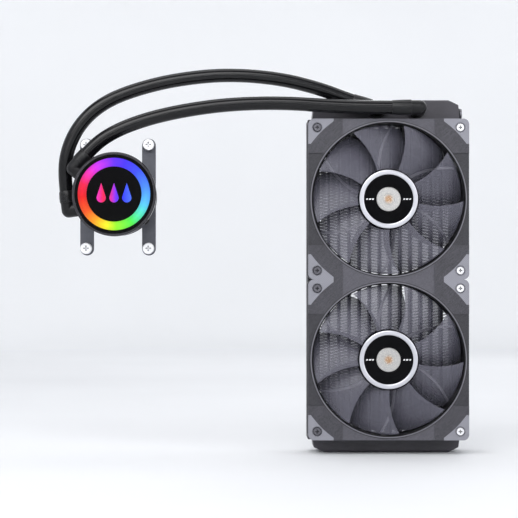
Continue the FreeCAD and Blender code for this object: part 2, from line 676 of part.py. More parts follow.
def impeller():
    """A bladed disc and a sleeve that runs on the pin."""
    blades = []
    for i in range(6):
        blade_box = box(4.5, 13.2, at(25.0), at(22.4), -0.6, 0.6)
        blade_box.rotate(V(0, 0, 0), BACK, 60 * i + 15)
        blade_box.translate(V(PUMP_X, 0, PUMP_Z))
        blades.append(blade_box)
    body = fuse_all([drum(14.0, 24.6, 26.0), drum(4.0, 23.4, 31.4), *blades])
    return body.cut(drum(1.5 + RUNNING_GAP, 20, 33))


def pump_stator():
    """A flat iron ring with six wound teeth, on the dry side of the roof."""
    iron = hollow_drum(17.0, 5.0, 40.6, 42.6)
    teeth, coils = [], []
    for x, z in around(6, 11.5):
        teeth.append(rod(x, z, 2.4, at(40.8), at(BODY_TOP + 0.3)))
        coils.append(ring(x, z, 4.8, 2.4, at(40.6), at(BODY_TOP + 0.6)))
    return [fuse_all([iron, *teeth]), *coils]


def pump_shell():
    """The dry cover: it flares from the housing's width to the width of the lit face."""
    out = SHELL_R
    foot = BODY_R - 2.2
    return turned([(BODY_R, BODY_TOP), (out - 2.0, 41.0), (out - 0.6, 42.6), (out, 44.4), (out, 50.2),
                   (out - 0.6, 50.2), (out - 0.6, SHELL_TOP), (out - 2.2, SHELL_TOP), (out - 2.2, 44.8),
                   (out - 3.6, 43.0), (foot, 37.6), (foot, BODY_TOP)])


def trim_ring():
    out, inn = TRIM_RING_R
    return turned([(SHELL_R + 0.05, 46.6), (out - 0.5, 46.6), (out, 47.2), (out, 54.0), (out - 0.7, 54.8),
                   (inn + 0.5, 54.8), (inn, 54.4), (inn, SHELL_TOP), (SHELL_R + 0.05, SHELL_TOP)])


def face_pieces():
    """The lit ring between a black outer rim and a black middle disc."""
    out, inn = LIGHT_R
    edge = TRIM_RING_R[1]
    rim = turned([(out, SHELL_TOP), (edge, SHELL_TOP), (edge, FACE_H), (out, FACE_H)])
    middle = turned([(0, 51.4), (inn, 51.4), (inn, FACE_H), (0, FACE_H)])
    middle = middle.cut([drop(x, FACE_H + 1) for x in DROP_X])
    light = turned([(inn, 49.6), (out, 49.6), (out, FACE_H + 0.25), (inn, FACE_H + 0.25)])
    return [rim, middle], light


def drop(x, top):
    """A droplet inlaid 1 mm deep in the face: a round belly with a point above."""
    belly, tip, low = 3.9, 9.4, -3.2
    lean = math.asin(belly / (tip - low))
    y = at(FACE_H - 1.0)
    left = V(PUMP_X + x - belly * math.cos(lean), y, PUMP_Z + low + belly * math.sin(lean))
    right = V(PUMP_X + x + belly * math.cos(lean), y, left.z)
    point = V(PUMP_X + x, y, PUMP_Z + tip)
    arc = Part.Arc(left, V(PUMP_X + x, y, PUMP_Z + low - belly), right).toShape()
    wire = Part.Wire([arc, Part.makeLine(right, point), Part.makeLine(point, left)])
    return Part.Face(wire).extrude(V(0, at(top) - y, 0))


def bracket():
    """A steel plate with a round middle and a straight arm on each side, holed at its four ends."""
    h0, h1 = BRACKET_H
    sx, sz = BRACKET_SPACING[0] / 2, BRACKET_SPACING[1] / 2
    body = [drum(FLANGE_R + 1.0, h0, h1)]
    for side in (-1, 1):
        x = PUMP_X + side * sx
        body.append(box(x - 6, x + 6, at(h1), at(h0), PUMP_Z - sz, PUMP_Z + sz))
        body += [rod(x, PUMP_Z + end * sz, 6.0, at(h1), at(h0)) for end in (-1, 1)]
    holes = [drum(BODY_R + 0.3, 0, 10)]
    holes += [rod(x, z, 2.3, at(10), at(0)) for x, z in stud_places()]
    return fuse_all(body).cut(holes)


def stud_places():
    sx, sz = BRACKET_SPACING[0] / 2, BRACKET_SPACING[1] / 2
    return [(PUMP_X + i * sx, PUMP_Z + j * sz) for i, j in CORNERS]


def bracket_screws():
    h0, h1 = SCREW_HEAD_H
    made = []
    for x, z in stud_places():
        head = revolve([(0, at(h0)), (5.0, at(h0)), (5.0, at(h1 - 0.6)), (4.4, at(h1)), (0, at(h1))], x, z)
        cross = [box(x - 2.4, x + 2.4, at(h1 + 1), at(h1 - 1.8), z - 0.65, z + 0.65),
                 box(x - 0.65, x + 0.65, at(h1 + 1), at(h1 - 1.8), z - 2.4, z + 2.4)]
        shank = rod(x, z, SHANK_R, at(h0), at(SHANK_END_H))
        stud = rod(x, z, STUD_R, at(SHANK_END_H), at(-6.0))
        made.append(fuse_all([head.cut(cross), shank, stud]))
    return made


def bracket_springs():
    """Compression springs between the bracket and the screw heads."""
    wire_r, mean_r = 0.5, 3.1
    low, high = BRACKET_H[1] + wire_r + 0.1, SCREW_HEAD_H[0] - wire_r - 0.1
    made = []
    for x, z in stud_places():
        helix = Part.makeHelix((high - low) / 4, high - low, mean_r)
        start = V(mean_r, 0, 0)
        profile = Part.Wire(Part.makeCircle(wire_r, start, V(0, 1, 0)))
        coil = Part.Wire(helix.Edges).makePipeShell([profile], True, True)
        coil.rotate(V(0, 0, 0), RIGHT, 90)
        coil.translate(V(x, at(low), z))
        made.append(coil)
    return made


def cable_grommet(r, r0, r1):
    """A round plug through the cover's flank, low on the right, where the pump's leads come out."""
    angle = math.radians(-40)
    out = V(math.cos(angle), 0, math.sin(angle))
    return Part.makeCylinder(r, r1 - r0, V(PUMP_X, at(40.0), PUMP_Z).add(out * r0), out)


def main():
    os.makedirs("parts", exist_ok=True)
    save("coolant_tubes", *coolant_tubes())
    save("cooling_fins", *cooling_fins())
    save("header_plates", header_plate(1), header_plate(-1))
    save("port_tank", port_tank())
    save("return_tank", tank(-1, RAD_BOTTOM))
    save("side_channel_left", side_channel(-1))
    save("side_channel_right", side_channel(1))
    plug, washer = fill_plug()
    save("fill_plug", plug)

    shared = {"fan_bearings": [], "fan_stator_cores": [], "fan_coils": [], "fan_circuit_boards": []}
    for name, z in FAN_CENTRES.items():
        save(f"fan_{name}_frame", fan_frame(z))
        save(f"fan_{name}_motor_mount", motor_mount(z))
        save(f"fan_{name}_pads", *corner_pads(z))
        save(f"fan_{name}_rotor", *fan_rotor(z))
        trim, badge = hub_badge(z)
        save(f"fan_{name}_hub_ring", trim)
        save(f"fan_{name}_hub_badge", badge)
        yoke, magnet, shaft, bearing, core, coils, board = fan_motor(z)
        save(f"fan_{name}_yoke", yoke)
        save(f"fan_{name}_magnet", magnet)
        save(f"fan_{name}_shaft", shaft)
        shared["fan_bearings"].append(bearing)
        shared["fan_stator_cores"].append(core)
        shared["fan_coils"] += coils
        shared["fan_circuit_boards"].append(board)
    for name, shapes in shared.items():
        save(name, *shapes)
    save("fan_screws_left", *fan_screws(-1))
    save("fan_screws_right", *fan_screws(1))

    seals = [washer]
    for name in RAD_PORTS:
        body, seal = radiator_elbow(name)
        save(f"radiator_elbow_{name}", body)
        seals.append(seal)
        body, seal = pump_elbow(name)
        save(f"pump_elbow_{name}", body)
        seals.append(seal)
        save(f"hose_{name}", hose(name))
    save("port_seals", *seals)

    save("cold_plate", cold_plate())
    save("cold_plate_screws", *cold_plate_screws())
    save("base_gasket", hollow_drum(23.2, 21.8, PLATE_THICK, PLATE_THICK + 0.8))
    save("pump_housing", pump_housing())
    save("jet_plate", jet_plate())
    save("chamber_plate", hollow_drum(WET_R, 4.5, *COVER_H))
    save("pump_impeller", impeller())
    save("pump_magnet", hollow_drum(13.5, 4.0, 26.0, 30.8))
    save("pump_pin", drum(1.5, 22.6, 35.0))
    save("pump_stator", *pump_stator())
    save("pump_circuit_board", hollow_drum(24.0, 2.0, 44.6, 46.2))
    save("pump_light_board", hollow_drum(30.0, 23.6, 47.6, 49.0))
    save("pump_shell", pump_shell().cut(cable_grommet(2.9, 24.0, 40.0)))
    save("pump_cable_grommet", cable_grommet(2.9, 27.0, 36.5).cut(cable_grommet(1.6, 20.0, 40.0)))
    save("pump_trim_ring", trim_ring())
    face, light = face_pieces()
    save("pump_face", *face)
    save("pump_light_ring", light)
    save("pump_symbol", *[drop(x, FACE_H + 0.25) for x in DROP_X])
    save("mounting_bracket", bracket())
    save("bracket_screws", *bracket_screws())
    save("bracket_springs", *bracket_springs())


main()
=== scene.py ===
import math

import bmesh
import bpy
from mathutils import Matrix, Vector


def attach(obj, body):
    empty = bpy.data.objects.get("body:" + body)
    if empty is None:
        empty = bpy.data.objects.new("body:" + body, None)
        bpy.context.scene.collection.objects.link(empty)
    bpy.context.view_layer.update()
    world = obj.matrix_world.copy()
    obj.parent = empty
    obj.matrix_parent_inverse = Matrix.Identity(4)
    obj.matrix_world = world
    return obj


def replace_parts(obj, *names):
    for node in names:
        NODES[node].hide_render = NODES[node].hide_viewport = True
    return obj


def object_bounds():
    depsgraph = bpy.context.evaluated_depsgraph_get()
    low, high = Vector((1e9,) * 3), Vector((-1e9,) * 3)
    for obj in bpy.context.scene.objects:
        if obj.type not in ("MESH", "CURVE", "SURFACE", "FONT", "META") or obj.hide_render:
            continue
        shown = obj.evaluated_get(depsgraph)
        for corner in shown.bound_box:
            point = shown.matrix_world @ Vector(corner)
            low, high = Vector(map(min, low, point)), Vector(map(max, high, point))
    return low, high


# A liquid cooler: an upright radiator with two fans, two rubber hoses and a round pump head with a
# lit ring. Metres. +Z is up, +X is right and +Y points away from the fans.

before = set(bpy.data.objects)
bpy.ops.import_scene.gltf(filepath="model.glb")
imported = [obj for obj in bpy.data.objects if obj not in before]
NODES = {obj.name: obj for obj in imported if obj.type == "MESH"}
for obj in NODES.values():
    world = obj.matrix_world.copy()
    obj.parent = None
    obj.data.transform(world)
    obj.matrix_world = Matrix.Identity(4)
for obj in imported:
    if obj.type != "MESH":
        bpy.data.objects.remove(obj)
CAD_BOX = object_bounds()

MM = 0.001
RADIATOR_DEPTH = 27 * MM
FAN_FRONT = -52 * MM
FANS = {"upper": 70 * MM, "lower": -70 * MM}  # height of each fan's axis
DUCT_R = 66 * MM
STEP_HALF = 40 * MM  # half the length of the lowered flat in the middle of each side of a fan
PUMP_X, PUMP_Z = -236 * MM, 72 * MM
HOSE_R = 6 * MM

# The middle of each hose, from its elbow on the radiator to its elbow on the pump head.
HOSE_A = [
    (0.0195, -0.0540, 0.1495), (-0.0085, -0.0540, 0.1495), (-0.0480, -0.0545, 0.1504),
    (-0.0940, -0.0560, 0.1534), (-0.1390, -0.0585, 0.1518), (-0.1793, -0.0615, 0.1459),
    (-0.2124, -0.0645, 0.1377), (-0.2384, -0.0665, 0.1272), (-0.2564, -0.0670, 0.1146),
    (-0.2680, -0.0670, 0.1008),
]
HOSE_B = [
    (-0.0147, -0.0385, 0.1517), (-0.0346, -0.0385, 0.1582), (-0.0584, -0.0390, 0.1674),
    (-0.0953, -0.0400, 0.1766), (-0.1412, -0.0425, 0.1798), (-0.1869, -0.0455, 0.1746),
    (-0.2236, -0.0485, 0.1648), (-0.2483, -0.0510, 0.1538), (-0.2664, -0.0527, 0.1381),
    (-0.2784, -0.0534, 0.1173), (-0.2827, -0.0535, 0.0927), (-0.2791, -0.0535, 0.0670),
]


# ---- nodes of a material -------------------------------------------------------------------------
def linear(red, green, blue):
    """An sRGB colour from 0 to 255, as the shader wants it."""
    parts = [part / 255 for part in (red, green, blue)]
    return tuple(c / 12.92 if c <= 0.04045 else ((c + 0.055) / 1.055) ** 2.4 for c in parts)


class Finish:
    """One material: a Principled shader and the procedural nodes that feed it."""

    def __init__(self, name, colour, roughness, metallic=0.0, **sockets):
        self.material = bpy.data.materials.new(name)
        self.material.use_nodes = True
        self.tree = self.material.node_tree
        self.shader = self.tree.nodes["Principled BSDF"]
        self.base = linear(*colour)
        self.roughness = roughness
        self.set("Base Color", (*self.base, 1))
        self.set("Roughness", roughness)
        self.set("Metallic", metallic)
        for socket, value in sockets.items():
            self.set(socket.replace("_", " "), value)
        self.place = self.node("ShaderNodeTexCoord").outputs["Object"]

    def shade(self, factor):
        """The base colour made lighter or darker."""
        return tuple(min(1.0, c * factor) for c in self.base)

    def set(self, socket, value):
        self.shader.inputs[socket].default_value = value

    def node(self, kind, **settings):
        made = self.tree.nodes.new(kind)
        for key, value in settings.items():
            setattr(made, key, value)
        return made

    def feed(self, source, socket):
        """Links a node's output, or sets a plain value."""
        if isinstance(source, bpy.types.NodeSocket):
            self.tree.links.new(source, socket)
        else:
            socket.default_value = source

    def maths(self, operation, a, b=0.0):
        made = self.node("ShaderNodeMath", operation=operation)
        for source, socket in zip((a, b), made.inputs):
            self.feed(source, socket)
        return made.outputs[0]

    def axes(self):
        made = self.node("ShaderNodeSeparateXYZ")
        self.feed(self.place, made.inputs[0])
        return made.outputs["X"], made.outputs["Y"], made.outputs["Z"]

    def length(self, a, b):
        """The length of the flat vector (a, b)."""
        squares = self.maths("ADD", self.maths("MULTIPLY", a, a), self.maths("MULTIPLY", b, b))
        return self.maths("SQRT", squares)

    def turn(self, right, up):
        """The clockwise turn of (right, up) from straight up, from 0 to 1."""
        angle = self.maths("ARCTAN2", right, up)
        return self.maths("FLOORED_MODULO", self.maths("DIVIDE", angle, math.tau), 1.0)

    def stretched(self, x, y, z, turn=(0, 0, 0)):
        """The place on the object, turned, and scaled by a factor along each axis."""
        made = self.node("ShaderNodeMapping", vector_type="TEXTURE")
        self.feed(self.place, made.inputs["Vector"])
        made.inputs["Scale"].default_value = (1 / x, 1 / y, 1 / z)
        made.inputs["Rotation"].default_value = turn
        return made.outputs["Vector"]

    def noise(self, scale, detail=2.0, vector=None):
        made = self.node("ShaderNodeTexNoise")
        self.feed(vector or self.place, made.inputs["Vector"])
        made.inputs["Scale"].default_value = scale
        made.inputs["Detail"].default_value = detail
        return made.outputs["Fac"]

    def rings(self, distance, turn, fine, arcs, detail=3.0):
        """Noise drawn out into arcs: fine is its scale outwards and arcs its scale over one turn."""
        path = self.node("ShaderNodeCombineXYZ")
        self.feed(self.maths("MULTIPLY", distance, fine), path.inputs["X"])
        self.feed(self.maths("MULTIPLY", turn, arcs), path.inputs["Y"])
        return self.noise(1.0, detail, path.outputs[0])

    def cells(self, scale, vector=None, feature="F1", randomness=1.0):
        made = self.node("ShaderNodeTexVoronoi", feature=feature)
        self.feed(vector or self.place, made.inputs["Vector"])
        made.inputs["Scale"].default_value = scale
        made.inputs["Randomness"].default_value = randomness
        return made.outputs["Distance"]

    def spread(self, source, low, high, to_low=0.0, to_high=1.0):
        """Maps low..high to to_low..to_high, and holds the ends."""
        made = self.node("ShaderNodeMapRange", clamp=True)
        for value, socket in zip((source, low, high, to_low, to_high), made.inputs):
            self.feed(value, socket)
        return made.outputs[0]

    def ramp(self, source, stops):
        made = self.node("ShaderNodeValToRGB")
        self.feed(source, made.inputs["Fac"])
        marks = made.color_ramp.elements
        while len(marks) < len(stops):
            marks.new(0.5)
        for mark, (at, colour) in zip(marks, sorted(stops)):
            mark.position = at
            mark.color = (*linear(*colour), 1)
        return made.outputs["Color"]

    def mix(self, amount, a, b):
        made = self.node("ShaderNodeMix", data_type="RGBA")
        self.feed(amount, made.inputs["Factor"])
        self.feed(a if isinstance(a, bpy.types.NodeSocket) else (*a, 1), made.inputs["A"])
        self.feed(b if isinstance(b, bpy.types.NodeSocket) else (*b, 1), made.inputs["B"])
        return made.outputs["Result"]

    def colour(self, source):
        self.feed(source, self.shader.inputs["Base Color"])

    def vary(self, amount, scale, detail=3.0, vector=None):
        """Shades the base colour lighter and darker in soft patches."""
        mask = self.spread(self.noise(scale, detail, vector), 0.3, 0.7)
        result = self.mix(mask, self.shade(1 - amount), self.shade(1 + amount))
        self.colour(result)
        return result

    def vary_gloss(self, amount, scale, vector=None):
        """Makes soft patches glossier or duller."""
        low, high = self.roughness - amount, self.roughness + amount
        mask = self.spread(self.noise(scale, 3.0, vector), 0.3, 0.7, low, high)
        self.feed(mask, self.shader.inputs["Roughness"])

    def relief(self, height, depth, strength=1.0):
        """Bumps of a height texture from 0 to 1, depth metres tall. A call adds to those before it."""
        made = self.node("ShaderNodeBump")
        made.inputs["Strength"].default_value = strength
        made.inputs["Distance"].default_value = depth
        self.feed(height, made.inputs["Height"])
        before = self.shader.inputs["Normal"].links
        if before:
            self.feed(before[0].from_socket, made.inputs["Normal"])
        self.feed(made.outputs["Normal"], self.shader.inputs["Normal"])

    def around(self, x, z):
        """Distance from an axis along Y through (x, z), and the turn round it, from 0 to 1."""
        here_x, _, here_z = self.axes()
        dx = self.maths("SUBTRACT", here_x, x)
        dz = self.maths("SUBTRACT", here_z, z)
        return self.length(dx, dz), self.turn(dx, dz)

    def fan_place(self):
        """The distances right of and above the axis of the nearer fan, which the sign of z tells."""
        x, _, z = self.axes()
        dz = self.maths("SUBTRACT", self.maths("ABSOLUTE", z), FANS["upper"])
        return x, self.maths("MULTIPLY", dz, self.maths("SIGN", z))

    def fan_polar(self):
        """Distance from that axis, and the turn round it, from 0 to 1."""
        x, dz = self.fan_place()
        return self.length(x, dz), self.turn(x, dz)


def moulded(name, colour, roughness, grain=0.5, depth=0.02, **sockets):
    """Injection-moulded plastic: fine spark-eroded grain and slightly uneven gloss."""
    made = Finish(name, colour, roughness, **sockets)
    made.vary(0.10, 60)
    made.vary_gloss(0.05, 140)
    made.relief(made.noise(1000 / grain, 2.0), depth * MM, 0.6)
    return made


def metal(name, colour, roughness, lines=(1, 1, 1), line_scale=900, depth=0.006, painted_recess_shade=0.0, **sockets):
    """Metal with fine tool lines along the axis with the small factor, and, if asked, shade painted into
    its recesses.
    """
    made = Finish(name, colour, roughness, 1.0, **sockets)
    path = made.stretched(*lines)
    unshaded = made.vary(0.08, 120, 3.0)
    # Painted shade: where ambient occlusion finds a recess, the colour darkens.
    if painted_recess_shade:
        shelter = made.node("ShaderNodeAmbientOcclusion", samples=6, only_local=True)
        shelter.inputs["Distance"].default_value = 2.0 * MM
        open_sky = made.spread(shelter.outputs["AO"], 0.35, 0.85)
        made.colour(made.mix(open_sky, made.shade(1 - painted_recess_shade), unshaded))
    made.vary_gloss(0.06, line_scale * 0.4, path)
    made.relief(made.noise(line_scale, 3.0, path), depth * MM, 0.5)
    return made


# ---- finishes ------------------------------------------------------------------------------------
def coated_finish(name, colour, roughness):
    """Black powder coat on aluminium, with the fine orange peel of a baked coat."""
    made = Finish(name, colour, roughness, Specular_IOR_Level=0.45)
    made.vary(0.14, 30, 4.0)
    made.vary_gloss(0.06, 90)
    made.relief(made.noise(700, 2.0), 0.035 * MM, 0.55)
    made.relief(made.noise(2600, 1.0), 0.01 * MM, 0.5)
    return made.material


def fin_finish():
    """Black fins whose folds carry rows of louvres."""
    louvre = 1.1 * MM
    made = Finish("fins", (34, 34, 38), 0.55, 0.2, Specular_IOR_Level=0.3)
    _, y, _ = made.axes()
    rows = made.maths("PINGPONG", made.maths("MULTIPLY", y, 1 / louvre), 1.0)
    rows = made.spread(rows, 0.25, 0.75)
    made.vary(0.22, 160, 3.0)
    made.relief(rows, 0.25 * MM, 0.8)
    made.vary_gloss(0.08, 300)
    return made.material


def tube_finish():
    """Dark extruded tubes, a little uneven along their length."""
    made = Finish("tubes", (44, 44, 48), 0.4, 0.35)
    made.vary(0.2, 90, 3.0, made.stretched(1, 1, 0.12))
    made.relief(made.noise(900, 2.0), 0.02 * MM, 0.5)
    return made.material


def fan_frame_finish():
    """Dark moulded frame with slanted grain and paler flats above and below the duct. The flats beside the
    duct, a thin ring round it and its bore carry painted shade, and its rim a painted highlight.
    """
    throat_shadow_r, lip_highlight_r, groove_shadow_r = DUCT_R + 1.0 * MM, DUCT_R + 2.0 * MM, DUCT_R + 2.6 * MM
    behind_flats = FAN_FRONT + 2.0 * MM
    made = Finish("fan_frame", (64, 63, 69), 0.5, Specular_IOR_Level=0.4)
    distance, _ = made.fan_polar()
    x, dz = made.fan_place()
    _, y, _ = made.axes()
    throat_shadow = made.spread(distance, throat_shadow_r, throat_shadow_r + 0.15 * MM, 1.0, 0.0)
    lip_highlight = made.spread(distance, lip_highlight_r, lip_highlight_r + 0.3 * MM, 1.0, 0.0)
    beyond_groove_shadow = made.spread(distance, groove_shadow_r, groove_shadow_r + 0.3 * MM)
    front = made.spread(y, behind_flats, behind_flats + 0.2 * MM, 1.0, 0.0)
    above = made.spread(made.maths("ABSOLUTE", x), STEP_HALF, STEP_HALF + 0.2 * MM, 1.0, 0.0)
    beside = made.spread(made.maths("ABSOLUTE", dz), STEP_HALF, STEP_HALF + 0.2 * MM, 1.0, 0.0)

    slanted = made.stretched(1, 1, 0.05, (0, math.radians(45), 0))
    both = made.maths("ADD", made.noise(2600, 2.0, slanted), made.noise(1300, 1.0))
    grain = made.maths("MULTIPLY", both, 0.5)
    speckle = made.spread(grain, 0.36, 0.64)
    body = made.mix(speckle, made.shade(0.62), made.shade(1.38))
    pale = made.mix(speckle, made.shade(1.35), made.shade(2.05))
    dark = made.mix(speckle, made.shade(0.42), made.shade(0.84))
    body = made.mix(made.maths("MULTIPLY", above, front), body, pale)
    # Painted shade: the flats beside the duct take a darker copy of the frame's colour.
    body = made.mix(made.maths("MULTIPLY", beside, front), body, dark)
    body = made.mix(made.spread(made.noise(26, 3.0), 0.3, 0.7, 0.0, 0.16), body, made.shade(0.4))
    # Painted shadow: a thin dark ring just outside the duct's rim.
    body = made.mix(beyond_groove_shadow, linear(30, 29, 33), body)
    # Painted highlight: a pale ring on the duct's rim.
    body = made.mix(lip_highlight, body, linear(104, 103, 110))
    # Painted shade: the bore inside the rim is coloured near black.
    made.colour(made.mix(throat_shadow, body, linear(12, 12, 14)))
    made.feed(made.spread(lip_highlight, 0, 1, 0.52, 0.34), made.shader.inputs["Roughness"])
    made.relief(made.maths("MULTIPLY", grain, made.maths("SUBTRACT", 1.0, lip_highlight)), 0.05 * MM, 0.7)
    return made.material


def blade_finish():
    """Smoky blades that let a little of what is behind show, with soft streaks round the hub."""
    made = Finish("fan_blades", (99, 98, 110), 0.36, Specular_IOR_Level=0.4)
    distance, turn = made.fan_polar()
    bands = made.rings(distance, turn, 420.0, 0.0, 2.0)
    made.colour(made.mix(made.spread(bands, 0.3, 0.7), made.shade(0.84), made.shade(1.16)))
    made.vary_gloss(0.05, 90)
    made.relief(made.noise(1400, 1.0), 0.01 * MM, 0.4)
    made.set("Alpha", 0.55)
    return made.material


def hub_finish():
    """Gloss black hub, with faint turning marks and a little dust."""
    made = Finish("hub_black", (4, 4, 6), 0.16, Specular_IOR_Level=0.08)
    distance, turn = made.fan_polar()
    marks = made.rings(distance, turn, 2200.0, 12.0, 2.0)
    made.vary(0.4, 90)
    made.feed(made.spread(marks, 0.4, 0.7, 0.13, 0.24), made.shader.inputs["Roughness"])
    made.relief(marks, 0.004 * MM, 0.4)
    return made.material


def pad_finish():
    """Rubber pads with a fine pattern of raised dots."""
    made = Finish("corner_pads", (145, 145, 153), 0.72, Specular_IOR_Level=0.3)
    turned = made.stretched(1, 1, 1, (0, math.radians(45), 0))
    dots = made.spread(made.cells(900, turned, randomness=0.0), 0.15, 0.5, 1.0, 0.0)
    made.colour(made.mix(dots, made.shade(0.78), made.shade(1.16)))
    made.vary_gloss(0.06, 200)
    made.relief(dots, 0.12 * MM, 0.7)
    return made.material


def hub_ring_finish():
    """Turned silver ring round each hub."""
    made = Finish("hub_ring", (206, 206, 212), 0.34, 0.75)
    distance, turn = made.fan_polar()
    lines = made.rings(distance, turn, 2600.0, 9.0)
    made.colour(made.mix(lines, linear(178, 178, 185), linear(222, 222, 228)))
    made.vary_gloss(0.05, 300)
    made.relief(lines, 0.006 * MM, 0.5)
    return made.material


def badge_finish():
    """Spun silver disc with a copper button in the middle, and small glints painted into its colour."""
    button_r, button_edge = 2.0 * MM, 4.6 * MM
    made = Finish("hub_badge", (196, 195, 194), 0.34, 0.85)
    distance, turn = made.fan_polar()
    lines = made.rings(distance, turn, 3400.0, 14.0)
    silver = made.mix(lines, linear(150, 150, 151), linear(206, 205, 203))
    copper = made.mix(lines, linear(150, 112, 78), linear(198, 156, 116))
    button = made.spread(distance, button_r, button_edge, 0.95, 0.0)
    # Painted highlight: scattered near-white specks as glints.
    painted_glints = made.spread(made.noise(1700, 1.0), 0.54, 0.66, 0.0, 0.6)
    made.colour(made.mix(painted_glints, made.mix(button, silver, copper), linear(246, 240, 226)))
    made.vary_gloss(0.06, 300)
    made.relief(lines, 0.01 * MM, 0.6)
    return made.material


def rubber_finish(name, colour, roughness):
    """Smooth rubber with an even sheen, soft patches of bloom and a fine skin."""
    made = Finish(name, colour, roughness, Specular_IOR_Level=0.32)
    made.vary(0.22, 45, 4.0)
    made.vary_gloss(0.04, 110)
    made.relief(made.noise(260, 2.0), 0.012 * MM, 0.4)
    made.relief(made.noise(2200, 1.0), 0.006 * MM, 0.4)
    return made.material


def gloss_face_finish():
    """Deep black cover of the lit face, with the faint swirl marks of a wiped gloss surface."""
    made = Finish("gloss_face", (3, 3, 4), 0.09, Specular_IOR_Level=0.1)
    distance, turn = made.around(PUMP_X, PUMP_Z)
    made.vary(0.3, 70)
    marks = made.rings(distance, turn, 1500.0, 30.0, 2.0)
    made.feed(made.spread(marks, 0.45, 0.75, 0.07, 0.16), made.shader.inputs["Roughness"])
    return made.material


def light_ring_finish():
    """Frosted ring lit from behind, whose colour goes once round the wheel."""
    middle_r, half_width = 26.95 * MM, 3.65 * MM
    made = Finish("light_ring", (60, 60, 64), 0.35, Specular_IOR_Level=0.3)
    distance, turn = made.around(PUMP_X, PUMP_Z)
    wheel = made.ramp(turn, [
        (0.0, (100, 34, 255)), (0.055, (66, 40, 255)), (0.125, (52, 74, 255)), (0.22, (70, 140, 255)),
        (0.29, (84, 190, 255)), (0.345, (80, 228, 200)), (0.41, (74, 240, 74)), (0.49, (150, 250, 30)),
        (0.54, (248, 238, 24)), (0.60, (255, 160, 14)), (0.66, (240, 84, 10)), (0.735, (232, 6, 8)),
        (0.80, (236, 10, 70)), (0.86, (240, 34, 180)), (0.92, (204, 40, 250)), (1.0, (100, 34, 255))])
    wave = made.noise(500, 1.0)
    made.colour(made.mix(0.86, wheel, (0, 0, 0)))
    made.feed(wheel, made.shader.inputs["Emission Color"])
    off_middle = made.maths("ABSOLUTE", made.maths("SUBTRACT", distance, middle_r))
    across = made.spread(off_middle, 0.0, half_width, 0.98, 0.74)
    glow = made.maths("MULTIPLY", across, made.spread(wave, 0.3, 0.7, 0.96, 1.04))
    made.feed(glow, made.shader.inputs["Emission Strength"])
    made.relief(wave, 0.02 * MM, 0.4)
    return made.material


def light_symbol_finish():
    """The three lit droplets, from pink on the left to blue on the right."""
    half_width = 14.5 * MM
    made = Finish("light_symbol", (60, 60, 64), 0.35, Specular_IOR_Level=0.3)
    x, _, _ = made.axes()
    along = made.spread(x, PUMP_X - half_width, PUMP_X + half_width)
    band = made.ramp(along, [
        (0.0, (238, 40, 190)), (0.2, (240, 22, 74)), (0.42, (214, 30, 170)), (0.56, (110, 40, 255)),
        (0.75, (40, 50, 255)), (1.0, (70, 110, 255))])
    made.colour(made.mix(0.86, band, (0, 0, 0)))
    made.feed(band, made.shader.inputs["Emission Color"])
    glow = made.spread(made.noise(500, 1.0), 0.3, 0.7, 0.84, 0.96)
    made.feed(glow, made.shader.inputs["Emission Strength"])
    return made.material


def copper_plate_finish():
    """Milled copper with the fine arcs of the cutter and a few darker stains."""
    made = Finish("cold_plate", (206, 128, 92), 0.26, 1.0)
    distance, turn = made.around(PUMP_X, PUMP_Z)
    lines = made.rings(distance, turn, 2400.0, 8.0)
    fresh = made.mix(lines, linear(186, 108, 74), linear(224, 150, 112))
    stain = made.spread(made.noise(90, 4.0), 0.58, 0.75, 0.0, 0.5)
    made.colour(made.mix(stain, fresh, linear(140, 84, 62)))
    made.relief(lines, 0.008 * MM, 0.6)
    return made.material


def board_finish():
    """Green-black circuit board with tinned tracks."""
    made = Finish("circuit_board", (22, 44, 34), 0.4)
    edges = made.cells(420, made.stretched(1, 0.02, 1), "DISTANCE_TO_EDGE", 0.9)
    tracks = made.spread(edges, 0.03, 0.06, 1.0, 0.0)
    made.colour(made.mix(tracks, made.base, linear(60, 104, 78)))
    made.relief(tracks, 0.03 * MM, 0.6)
    return made.material


def wire_finish():
    """Coils of fine copper wire, wound side by side, each turn painted lighter on its crest and darker in
    the creases between turns.
    """
    wire = 0.16 * MM
    made = Finish("copper_wire", (176, 92, 52), 0.3, 0.9)
    _, y, _ = made.axes()
    painted_turn_shading = made.maths("PINGPONG", made.maths("MULTIPLY", y, 1 / wire), 1.0)
    # Painted highlight and shade: lighter on each turn's crest, darker between turns.
    made.colour(made.mix(painted_turn_shading, linear(120, 58, 32), linear(198, 112, 66)))
    made.relief(painted_turn_shading, 0.08 * MM, 0.8)
    return made.material


